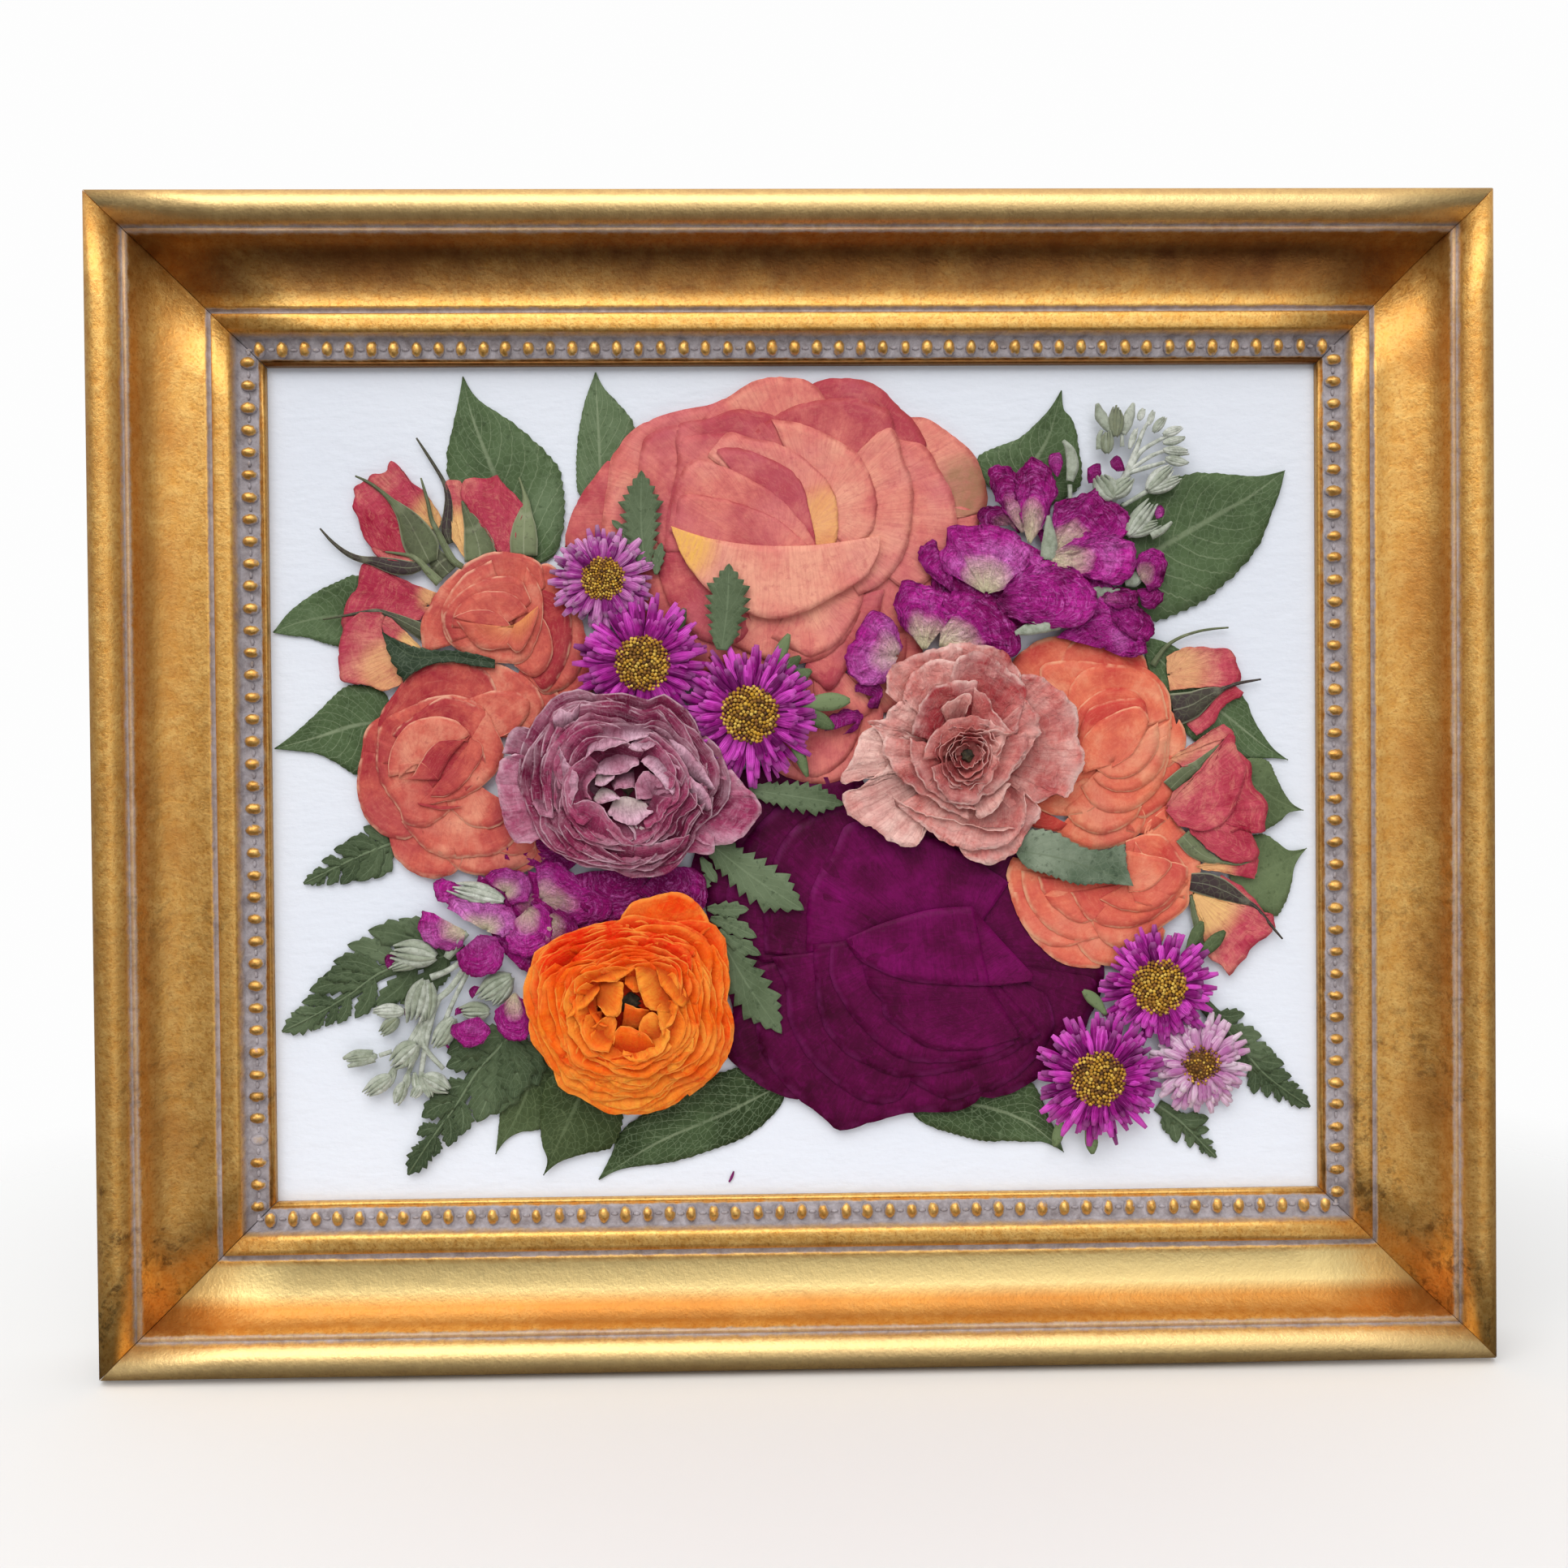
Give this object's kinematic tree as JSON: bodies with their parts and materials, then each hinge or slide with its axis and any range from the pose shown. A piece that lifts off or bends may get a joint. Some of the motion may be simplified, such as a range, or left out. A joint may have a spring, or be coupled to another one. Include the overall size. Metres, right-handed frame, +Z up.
{
  "type": "pressed flower frame",
  "caption": "Wide gilt picture frame with a beaded sight edge, holding pressed and dried roses, ranunculus, asters, buds, leaves and ferns on a paper sheet.",
  "frame": {"origin": "on the wall's plane, at the middle of the sawtooth hanger on the top rail's back", "axes": "+X to the viewer's right along the long side, +Z up, and the picture faces -Y, away from the wall at Y = 0"},
  "size_m": [0.318, 0.0283, 0.2675],
  "materials": {
    "gilt_moulding": "aged gilt over wood, satin",
    "sheet": "lightly textured, matte",
    "board": "matte",
    "steel": "dull zinc plate",
    "dry_leaf": "dried leaf, matte",
    "dry_fern": "dried fern, matte",
    "coral_petal": "dried petal, matte",
    "orange_coral_petal": "dried petal, matte",
    "burgundy_petal": "dried petal, satin",
    "mauve_petal": "dried petal, matte",
    "orange_petal": "dried petal, matte",
    "pink_petal": "dried petal, matte",
    "magenta_petal": "dried petal, matte",
    "pale_petal": "dried petal, matte",
    "bud_petal": "dried petal, matte"
  },
  "bodies": {
    "root": {"rail_top": "gilt_moulding", "rail_left": "gilt_moulding", "rail_bottom": "gilt_moulding", "rail_right": "gilt_moulding", "mount_paper": "sheet", "backing_board": "board", "glazing_point_top_left": "steel", "glazing_point_top_right": "steel", "glazing_point_bottom_left": "steel", "glazing_point_bottom_right": "steel", "sawtooth_hanger": "steel", "leaf_upper_left_tall": "dry_leaf", "leaf_top": "dry_leaf", "leaf_left_upper": "dry_leaf", "leaf_left_lower": "dry_leaf", "leaf_upper_right_small": "dry_leaf", "leaf_upper_right_broad": "dry_leaf", "leaf_right_upper": "dry_leaf", "leaf_right_middle": "dry_leaf", "leaf_right_lower": "dry_leaf", "leaf_bottom_left_outer": "dry_leaf", "leaf_bottom_left_inner": "dry_leaf", "leaf_bottom": "dry_leaf", "leaf_bottom_right": "dry_leaf", "leaf_rose_left": "dry_leaf", "leaf_rose_right": "dry_leaf", "frond_left_upper": "dry_fern", "frond_left_large": "dry_fern", "frond_left_lower": "dry_fern", "frond_by_coral_rose": "dry_fern", "frond_by_asters": "dry_fern", "frond_centre_upper": "dry_fern", "frond_centre_middle": "dry_fern", "frond_centre_lower": "dry_fern", "frond_right_lower": "dry_fern", "frond_bottom_right": "dry_fern", "rose_coral_large": "coral_petal", "rose_burgundy_large": "burgundy_petal", "rose_coral_left_upper": "coral_petal", "rose_coral_left_lower": "coral_petal", "rose_orange_right_upper": "orange_coral_petal", "rose_coral_right_lower": "coral_petal", "ranunculus_mauve": "mauve_petal", "ranunculus_orange": "orange_petal", "rose_pink_ruffled": "pink_petal", "aster_left_small": "magenta_petal", "aster_left": "magenta_petal", "aster_centre": "magenta_petal", "aster_right_upper": "magenta_petal", "aster_right_lower": "magenta_petal", "aster_pale": "pale_petal", "rosebud_left_upper": "bud_petal", "rosebud_left_tall": "bud_petal", "rosebud_left_lower": "bud_petal", "rosebud_right_upper": "bud_petal", "rosebud_right_middle": "bud_petal", "rosebud_right_lower": "bud_petal", "stock_upper": "magenta_petal", "stock_lower": "magenta_petal", "petal_fragment": "magenta_petal"}
  },
  "joints": []
}
